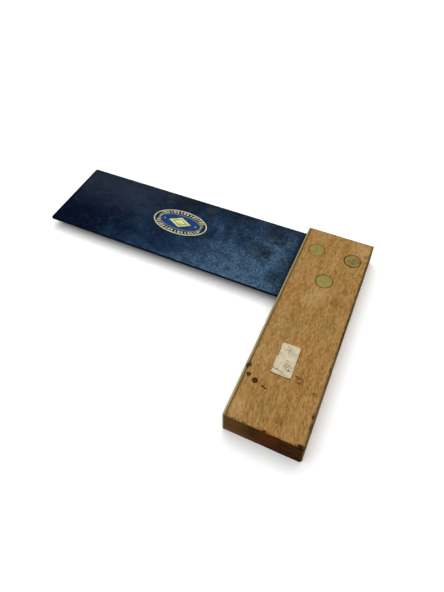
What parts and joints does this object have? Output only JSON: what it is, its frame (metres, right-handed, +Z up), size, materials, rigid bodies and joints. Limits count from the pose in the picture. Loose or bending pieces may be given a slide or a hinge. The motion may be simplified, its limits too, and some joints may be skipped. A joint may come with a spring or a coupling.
{
  "type": "try square",
  "caption": "Joiner's try square: a plain blued steel blade riveted square in a beech stock with a brass face, for marking and testing right angles.",
  "frame": {"origin": "centre of the whole square's plan rectangle, on the plane of the stock's underside", "axes": "+X from the blade's tip towards the stock's back, +Y towards the end of the stock that holds the blade, +Z up through the stock's thickness"},
  "size_m": [0.238, 0.16, 0.0171],
  "materials": {
    "beech": "worn, waxed beech with short dark flecks along the grain, ink-dark spots and rounded arrises",
    "blued_steel": "dark blued steel, mottled, with small scratches and a few rust spots",
    "brass": "dull, tarnished brass, filed flush",
    "transfer_print": "thin printed transfer, royal blue and navy with cream lines and a gilt lozenge, slightly worn",
    "paper_label": "grubby off-white paper, scuffed, one corner lifted"
  },
  "bodies": {
    "root": {"stock": "beech", "blade": "blued_steel", "face_strip": "brass", "rivet_pin_inner": "brass", "rivet_disc_top_inner": "brass", "rivet_disc_bottom_inner": "brass", "rivet_pin_outer": "brass", "rivet_disc_top_outer": "brass", "rivet_disc_bottom_outer": "brass", "rivet_pin_lower": "brass", "rivet_disc_top_lower": "brass", "rivet_disc_bottom_lower": "brass", "face_pin_far_upper": "brass", "face_pin_far_lower": "brass", "face_pin_mid": "brass", "face_pin_near": "brass", "face_pin_end": "brass", "blade_transfer": "transfer_print", "price_sticker": "paper_label"}
  },
  "joints": []
}
